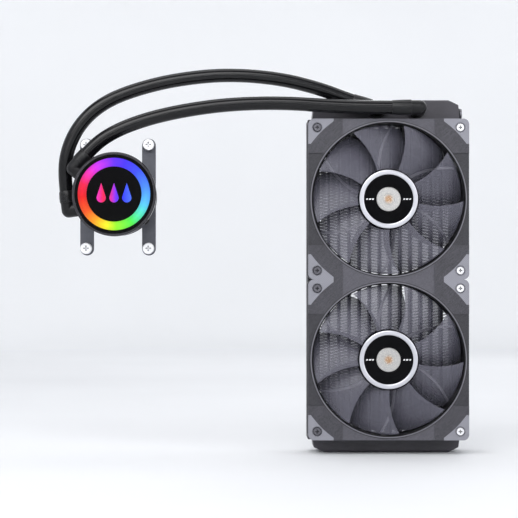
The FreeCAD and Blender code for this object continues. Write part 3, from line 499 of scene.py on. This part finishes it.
FINISH = {
    "tank": coated_finish("tank_paint", (60, 58, 64), 0.42),
    "channel": coated_finish("channel_paint", (40, 40, 44), 0.46),
    "fins": fin_finish(),
    "tubes": tube_finish(),
    "fan_frame": fan_frame_finish(),
    # The struts are coloured near white: a painted highlight that shows through the smoky blades.
    "struts": moulded("strut_painted_highlight", (228, 227, 234), 0.36).material,
    "blades": blade_finish(),
    "hub": hub_finish(),
    "pads": pad_finish(),
    "hub_ring": hub_ring_finish(),
    "badge": badge_finish(),
    "hose": rubber_finish("hose_rubber", (13, 13, 15), 0.15),
    "seal": rubber_finish("seal_rubber", (18, 18, 19), 0.6),
    "elbow": moulded("elbow_plastic", (17, 17, 19), 0.36, Specular_IOR_Level=0.28).material,
    "collar": moulded("collar_plastic", (19, 19, 21), 0.32, 0.3, Specular_IOR_Level=0.3).material,
    "pump_plastic": moulded("pump_plastic", (30, 30, 33), 0.42, 0.35, 0.03,
                            Specular_IOR_Level=0.35).material,
    "inner_plastic": moulded("inner_plastic", (52, 52, 56), 0.45).material,
    "face": gloss_face_finish(),
    "light_ring": light_ring_finish(),
    "light_symbol": light_symbol_finish(),
    "trim": metal("dark_chrome", (72, 71, 74), 0.24, (1, 0.05, 1), 500).material,
    "bright_screw": metal("bright_screw", (240, 240, 242), 0.42, painted_recess_shade=0.85).material,
    "white_screw": metal("white_screw", (243, 243, 245), 0.42, painted_recess_shade=0.6).material,
    "dark_screw": metal("dark_screw", (104, 103, 109), 0.42, painted_recess_shade=0.85).material,
    "plug": metal("plug_metal", (120, 120, 126), 0.32).material,
    "bracket": metal("bracket_metal", (96, 97, 103), 0.42, (1, 1, 0.04), 800, 0.01).material,
    "steel": metal("steel", (176, 176, 180), 0.3).material,
    "bronze": metal("bronze", (160, 118, 70), 0.36).material,
    "ferrite": moulded("ferrite", (44, 42, 42), 0.6, 0.8, 0.04).material,
    "copper": copper_plate_finish(),
    "wire": wire_finish(),
    "board": board_finish(),
    "mark": moulded("mark_ink", (228, 228, 230), 0.5, 0.3, 0.006).material,
}

NODE_FINISH = {
    "port_tank": "tank", "return_tank": "tank", "header_plates": "tank",
    "side_channel_left": "channel", "side_channel_right": "channel",
    "fill_plug": "plug", "port_seals": "seal",
    "radiator_elbow_a": "elbow", "radiator_elbow_b": "elbow",
    "pump_elbow_a": "elbow", "pump_elbow_b": "elbow",
    "fan_screws_left": "dark_screw", "fan_screws_right": "bright_screw",
    "fan_bearings": "bronze", "fan_stator_cores": "steel",
    "fan_coils": "wire", "fan_circuit_boards": "board",
    "cold_plate": "copper", "cold_plate_screws": "steel", "base_gasket": "seal",
    "pump_housing": "pump_plastic", "jet_plate": "inner_plastic", "chamber_plate": "inner_plastic",
    "pump_impeller": "inner_plastic", "pump_magnet": "ferrite", "pump_pin": "steel",
    "pump_stator": "wire", "pump_circuit_board": "board", "pump_light_board": "board",
    "pump_shell": "pump_plastic", "pump_cable_grommet": "seal", "pump_trim_ring": "trim",
    "pump_face": "face", "pump_light_ring": "light_ring", "pump_symbol": "light_symbol",
    "mounting_bracket": "bracket", "bracket_screws": "white_screw", "bracket_springs": "steel",
}
for fan in FANS:
    for part, finish in {
        "frame": "fan_frame", "motor_mount": "struts", "pads": "pads", "rotor": "blades",
        "hub_ring": "hub_ring", "hub_badge": "badge",
        "yoke": "steel", "magnet": "ferrite", "shaft": "steel",
    }.items():
        NODE_FINISH[f"fan_{fan}_{part}"] = finish


def dress(piece, material):
    piece.data.materials.clear()
    piece.data.materials.append(material)


for name, finish in NODE_FINISH.items():
    dress(NODES[name], FINISH[finish])


# ---- pieces --------------------------------------------------------------------------------------
def link(name, data, material, body):
    """Makes a piece of a mesh or curve, with its finish, that rides on a body if one is named."""
    piece = bpy.data.objects.new(name, data)
    bpy.context.scene.collection.objects.link(piece)
    dress(piece, material)
    if body:
        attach(piece, body)
    return piece


def hose(name, points, node):
    """A round hose on one smooth line with these control points."""
    line = bpy.data.curves.new(name, "CURVE")
    line.dimensions = "3D"
    line.bevel_depth = HOSE_R
    line.bevel_resolution = 9
    line.resolution_u = 24
    line.use_fill_caps = True
    spline = line.splines.new("NURBS")
    spline.points.add(len(points) - 1)
    for point, place in zip(spline.points, points):
        point.co = (*place, 1)
    spline.order_u = 3
    spline.use_endpoint_u = True
    piece = link(name, line, FINISH["hose"], "cooler")
    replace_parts(piece, node)
    return piece


def lathe(name, outline, centre, axis, material, body, steps, flutes=(0, 0.0)):
    """Turns a closed outline of (distance along, radius) round an axis. flutes is (number, depth)."""
    axis = Vector(axis).normalized()
    side = axis.orthogonal().normalized()
    up = axis.cross(side)
    mesh = bmesh.new()
    rings = []
    for i in range(steps):
        angle = math.tau * i / steps
        out = side * math.cos(angle) + up * math.sin(angle)
        flute = flutes[1] * math.cos(flutes[0] * angle) ** 2
        rings.append([mesh.verts.new(Vector(centre) + axis * a + out * (r - flute)) for a, r in outline])
    for i, here in enumerate(rings):
        there = rings[(i + 1) % steps]
        for j in range(len(outline)):
            k = (j + 1) % len(outline)
            mesh.faces.new((here[j], here[k], there[k], there[j]))
    bmesh.ops.recalc_face_normals(mesh, faces=mesh.faces)
    for face in mesh.faces:
        face.smooth = True
    data = bpy.data.meshes.new(name)
    mesh.to_mesh(data)
    mesh.free()
    data.set_sharp_from_angle(angle=math.radians(35))
    return link(name, data, material, body)


def hose_collar(name, start, towards, length):
    """A sleeve crimped over a hose's end, a little wider at the elbow, with 16 lengthwise flutes."""
    way = Vector(towards) - Vector(start)
    wide, narrow, inside = HOSE_R + 0.9 * MM, HOSE_R + 0.35 * MM, HOSE_R - 0.4 * MM
    outline = [(0.0, inside), (0.0, wide - 0.3 * MM), (0.4 * MM, wide), (0.45 * length, wide - 0.1 * MM),
               (length - 0.5 * MM, narrow), (length, narrow - 0.25 * MM), (length, inside)]
    return lathe(name, outline, start, way, FINISH["collar"], "cooler", 96, (16, 0.12 * MM))


for label, points in (("a", HOSE_A), ("b", HOSE_B)):
    piece = hose(f"rubber_hose_{label}", points, f"hose_{label}")
    collars = [hose_collar(f"hose_{label}_collar_top", points[0], points[1], 17 * MM),
               hose_collar(f"hose_{label}_collar_pump", points[-1], points[-2], 9.8 * MM)]


def merged(name, build, material, body, smooth=True):
    """One piece from a function that fills an empty mesh."""
    mesh = bmesh.new()
    build(mesh)
    bmesh.ops.recalc_face_normals(mesh, faces=mesh.faces)
    for face in mesh.faces:
        face.smooth = smooth
    data = bpy.data.meshes.new(name)
    mesh.to_mesh(data)
    mesh.free()
    if smooth:
        data.set_sharp_from_angle(angle=math.radians(40))
    return link(name, data, material, body)


TUBES = 12
TUBE_PITCH = 9.1 * MM
TUBE_HALF = 1.0 * MM
CORE_HALF = 137.0 * MM
CORE_Y = -RADIATOR_DEPTH / 2


def tube_places():
    return [(i - (TUBES - 1) / 2) * TUBE_PITCH for i in range(TUBES)]


def flat_tubes(mesh):
    """Flat coolant tubes with round noses, from one header plate to the other."""
    half_depth, nose = 10.0 * MM, 6
    for x in tube_places():
        outline = []
        for end in (1, -1):
            for i in range(nose + 1):
                a = math.pi * i / nose
                rim = half_depth - TUBE_HALF + TUBE_HALF * math.sin(a)
                outline.append((x + end * TUBE_HALF * math.cos(a), CORE_Y + end * rim))
        low, high = ([mesh.verts.new((px, py, z)) for px, py in outline] for z in (-CORE_HALF, CORE_HALF))
        for i in range(len(outline)):
            k = (i + 1) % len(outline)
            mesh.faces.new((low[i], low[k], high[k], high[i]))


def folded_fins(mesh):
    """A strip of thin folded sheet in each gap between tubes, brazed to them at every fold."""
    pitch, half_depth, sheet = 2.6 * MM, 11.0 * MM, 0.11 * MM
    gap = TUBE_PITCH - 2 * TUBE_HALF
    folds = int(2 * (CORE_HALF - 1.0 * MM) / pitch)
    steps = 8
    for middle in [x + TUBE_PITCH / 2 for x in tube_places()] + [tube_places()[0] - TUBE_PITCH / 2]:
        reach = gap / 2 - sheet
        previous = None
        for i in range(folds * steps + 1):
            phase = math.tau * i / steps
            x = middle + reach * math.tanh(2.4 * math.sin(phase)) / math.tanh(2.4)
            z = -folds * pitch / 2 + pitch * i / steps
            row = [mesh.verts.new((x, CORE_Y + side * half_depth, z + lift))
                   for side, lift in ((-1, sheet / 2), (1, sheet / 2), (1, -sheet / 2), (-1, -sheet / 2))]
            if previous:
                for j in range(4):
                    k = (j + 1) % 4
                    mesh.faces.new((previous[j], previous[k], row[k], row[j]))
            previous = row


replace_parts(merged("flat_tubes", flat_tubes, FINISH["tubes"], "cooler"), "coolant_tubes")
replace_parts(merged("folded_fins", folded_fins, FINISH["fins"], "cooler"), "cooling_fins")


# ---- fan rotors ----------------------------------------------------------------------------------
HUB_R = 26.6 * MM
BLADE_TIP_R = 65.2 * MM
BLADES = 9
FIRST_BLADE = 12  # degrees from +X towards +Z
# The blade before its ends are cut, as (value at the root, change by the tip), in mm and degrees.
BLADE_REACH = (19.0, 50.0)
BLADE_CHORD = (24.0, 29.0)
BLADE_PITCH = (40.0, -22.0)
BLADE_CAMBER = (2.2, 0.6)
BLADE_THICK = (1.9, -0.7)
BLADE_SWEEP = (-6.0, 20.0)
BLADE_MIDDLE = 10.0  # behind the fan's front


def blade_point(s, u, face):
    """A point of the first blade: s from hub to tip, u along the chord, face 1, 0 or -1 across it."""
    reach = BLADE_REACH[0] + BLADE_REACH[1] * s
    chord = BLADE_CHORD[0] + BLADE_CHORD[1] * s
    pitch = math.radians(BLADE_PITCH[0] + BLADE_PITCH[1] * max(s, 0.0) ** 0.8)
    camber = BLADE_CAMBER[0] + BLADE_CAMBER[1] * s
    thick = BLADE_THICK[0] + BLADE_THICK[1] * s
    sweep = reach * math.tan(math.radians(BLADE_SWEEP[0] + BLADE_SWEEP[1] * s * s))
    inside = min(max(u, 0.0), 1.0)
    bow = camber * 4 * inside * (1 - inside)
    swell = thick / 2 * (0.35 + 0.65 * math.sin(math.pi * min(1, inside * 0.8 + 0.15)))
    t, n = (0.5 - u) * chord, bow + face * swell
    across = sweep + t * math.cos(pitch) - n * math.sin(pitch)
    depth = -t * math.sin(pitch) - n * math.cos(pitch)
    return Vector((reach, depth + BLADE_MIDDLE, across)) * MM


def blade_at(radius, u, face):
    """The blade's point at a distance from the fan's axis."""
    low, high = -0.2, 1.2
    for _ in range(24):
        s = (low + high) / 2
        point = blade_point(s, u, face)
        if math.hypot(point.x, point.z) < radius:
            low = s
        else:
            high = s
    return point


def blades(height):
    """Blades with rounded edges that follow the hub and stop short of the duct."""
    def build(mesh):
        chordwise = [i / 12 for i in range(13)]
        back = [(u, 1) for u in chordwise]
        front = [(u, -1) for u in chordwise[::-1]]
        outline = [(-0.014, 0)] + back + [(1.008, 0)] + front
        stations = 15
        root_r = HUB_R - 0.4 * MM
        rows = []
        for i in range(stations):
            radius = root_r + (BLADE_TIP_R - root_r) * i / (stations - 1)
            rows.append([blade_at(radius, u, face) for u, face in outline])
        for number in range(BLADES):
            turn = Matrix.Rotation(-math.radians(360 / BLADES * number + FIRST_BLADE), 4, "Y")
            place = Matrix.Translation((0, FAN_FRONT, height)) @ turn
            made = [[mesh.verts.new(place @ point) for point in row] for row in rows]
            for here, there in zip(made, made[1:]):
                for j in range(len(outline)):
                    k = (j + 1) % len(outline)
                    mesh.faces.new((here[j], here[k], there[k], there[j]))
            mesh.faces.new(made[0])
            mesh.faces.new(made[-1][::-1])
    return build


def hub_outline():
    """The hub's section as (distance behind the fan's front, radius), with softened rims."""
    rows = [(2.4, 2.0), (2.4, 10.5), (1.4, 10.6), (1.4, 21.5), (2.4, 21.6), (2.4, 25.4), (0.8, 25.4),
            (0.8, 25.6), (0.95, 26.2), (1.35, 26.5), (1.9, 26.6), (18.6, 26.6), (19.0, 26.3), (19.0, 24.6),
            (4.6, 24.6), (4.6, 5.0), (6.8, 5.0), (6.8, 2.0)]
    return [(a * MM, r * MM) for a, r in rows]


def hub_marks(height):
    """Three short slanted dashes, printed on each side of the badge."""
    half_tall, slant = 0.62, 0.45
    depths = (FAN_FRONT + 1.34 * MM, FAN_FRONT + 1.5 * MM)

    def build(mesh):
        for side in (-1, 1):
            for x, half in ((13.6, 0.9), (16.1, 1.15), (18.8, 0.9)):
                corners = [(x - half, -half_tall), (x + half - slant, -half_tall),
                           (x + half, half_tall), (x - half + slant, half_tall)]
                places = [(side * px * MM, height + side * pz * MM) for px, pz in corners]
                front, back = ([mesh.verts.new((px, y, pz)) for px, pz in places] for y in depths)
                mesh.faces.new(front)
                mesh.faces.new(back[::-1])
                for j in range(4):
                    k = (j + 1) % 4
                    mesh.faces.new((front[j], back[j], back[k], front[k]))
    return build


for fan, height in FANS.items():
    body = f"fan_{fan}_spinning"
    hub = lathe(f"fan_{fan}_hub", hub_outline(), (0, FAN_FRONT, height), (0, 1, 0), FINISH["hub"], body, 96)
    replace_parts(hub, f"fan_{fan}_rotor")
    merged(f"fan_{fan}_blades", blades(height), FINISH["blades"], body)
    merged(f"fan_{fan}_marks", hub_marks(height), FINISH["mark"], body, False)


# ---- stage, lights and camera --------------------------------------------------------------------
def backdrop():
    """A pale round floor that curves up into a wall, far enough out for a view from every side."""
    floor, wall, r, height = CAD_BOX[0][2], 3.1, 0.8, 3.4
    outline = [(wall - r, floor)]
    for i in range(1, 13):
        a = math.pi / 2 * i / 12
        outline.append((wall - r + r * math.sin(a), floor + r - r * math.cos(a)))
    outline.append((wall, floor + height))
    steps = 96

    def build(mesh):
        middle = mesh.verts.new((0, 0, floor))
        rings = []
        for i in range(steps):
            x, y = math.cos(math.tau * i / steps), math.sin(math.tau * i / steps)
            rings.append([mesh.verts.new((out * x, out * y, z)) for out, z in outline])
        for i, here in enumerate(rings):
            there = rings[(i + 1) % steps]
            mesh.faces.new((middle, here[0], there[0]))
            for j in range(len(here) - 1):
                mesh.faces.new((here[j], here[j + 1], there[j + 1], there[j]))

    paper = Finish("backdrop", (226, 227, 229), 0.85, Specular_IOR_Level=0.15)
    paper.vary(0.015, 3)
    paper.set("Emission Color", (0.98, 0.99, 1.0, 1))
    x, y, _ = paper.axes()
    glow = paper.spread(paper.length(x, y), 1.1, 2.6, 0.0, 0.27)
    paper.feed(glow, paper.shader.inputs["Emission Strength"])
    merged("backdrop", build, paper.material, None)


def lamp(name, place, target, size, power):
    """A soft rectangular light, its size in metres and its power in watts."""
    data = bpy.data.lights.new(name, "AREA")
    data.shape = "RECTANGLE"
    data.size, data.size_y = size
    data.energy = power
    piece = bpy.data.objects.new(name, data)
    piece.location = place
    piece.rotation_euler = (Vector(target) - Vector(place)).to_track_quat("-Z", "Y").to_euler()
    bpy.context.scene.collection.objects.link(piece)


backdrop()
middle = (-0.11, -0.05, 0.02)
lamp("key", (-0.6, -1.35, 1.25), middle, (1.7, 1.0), 20.5)
lamp("fill", (1.2, -1.2, 0.6), middle, (0.9, 1.2), 5)
lamp("top", (-0.1, 0.2, 1.6), middle, (1.8, 0.9), 9)
lamp("rear", (0.4, 1.5, 1.0), middle, (1.2, 0.9), 6.5)
lamp("strip", (-0.1, -1.7, 0.45), middle, (1.7, 0.08), 2.4)

world = bpy.data.worlds.new("studio")
world.use_nodes = True
world.node_tree.nodes["Background"].inputs["Color"].default_value = (0.9, 0.93, 1.0, 1)
world.node_tree.nodes["Background"].inputs["Strength"].default_value = 0.35
bpy.context.scene.world = world
bpy.context.scene.view_settings.view_transform = "Standard"

TIGHTER = 1.35  # how much more of the frame the object fills than inside a whole computer case
camera = bpy.data.cameras.new("camera")
camera.sensor_width = 36.0
camera.lens = 82.84 * TIGHTER
camera.shift_x = 0.0386 * TIGHTER
camera.shift_y = 0.0347 * TIGHTER
camera.clip_end = 20.0
viewer = bpy.data.objects.new("camera", camera)
viewer.location = (-0.1364, -1.452, -0.0033)
viewer.rotation_euler = (math.radians(90), 0, 0)
bpy.context.scene.collection.objects.link(viewer)
bpy.context.scene.camera = viewer
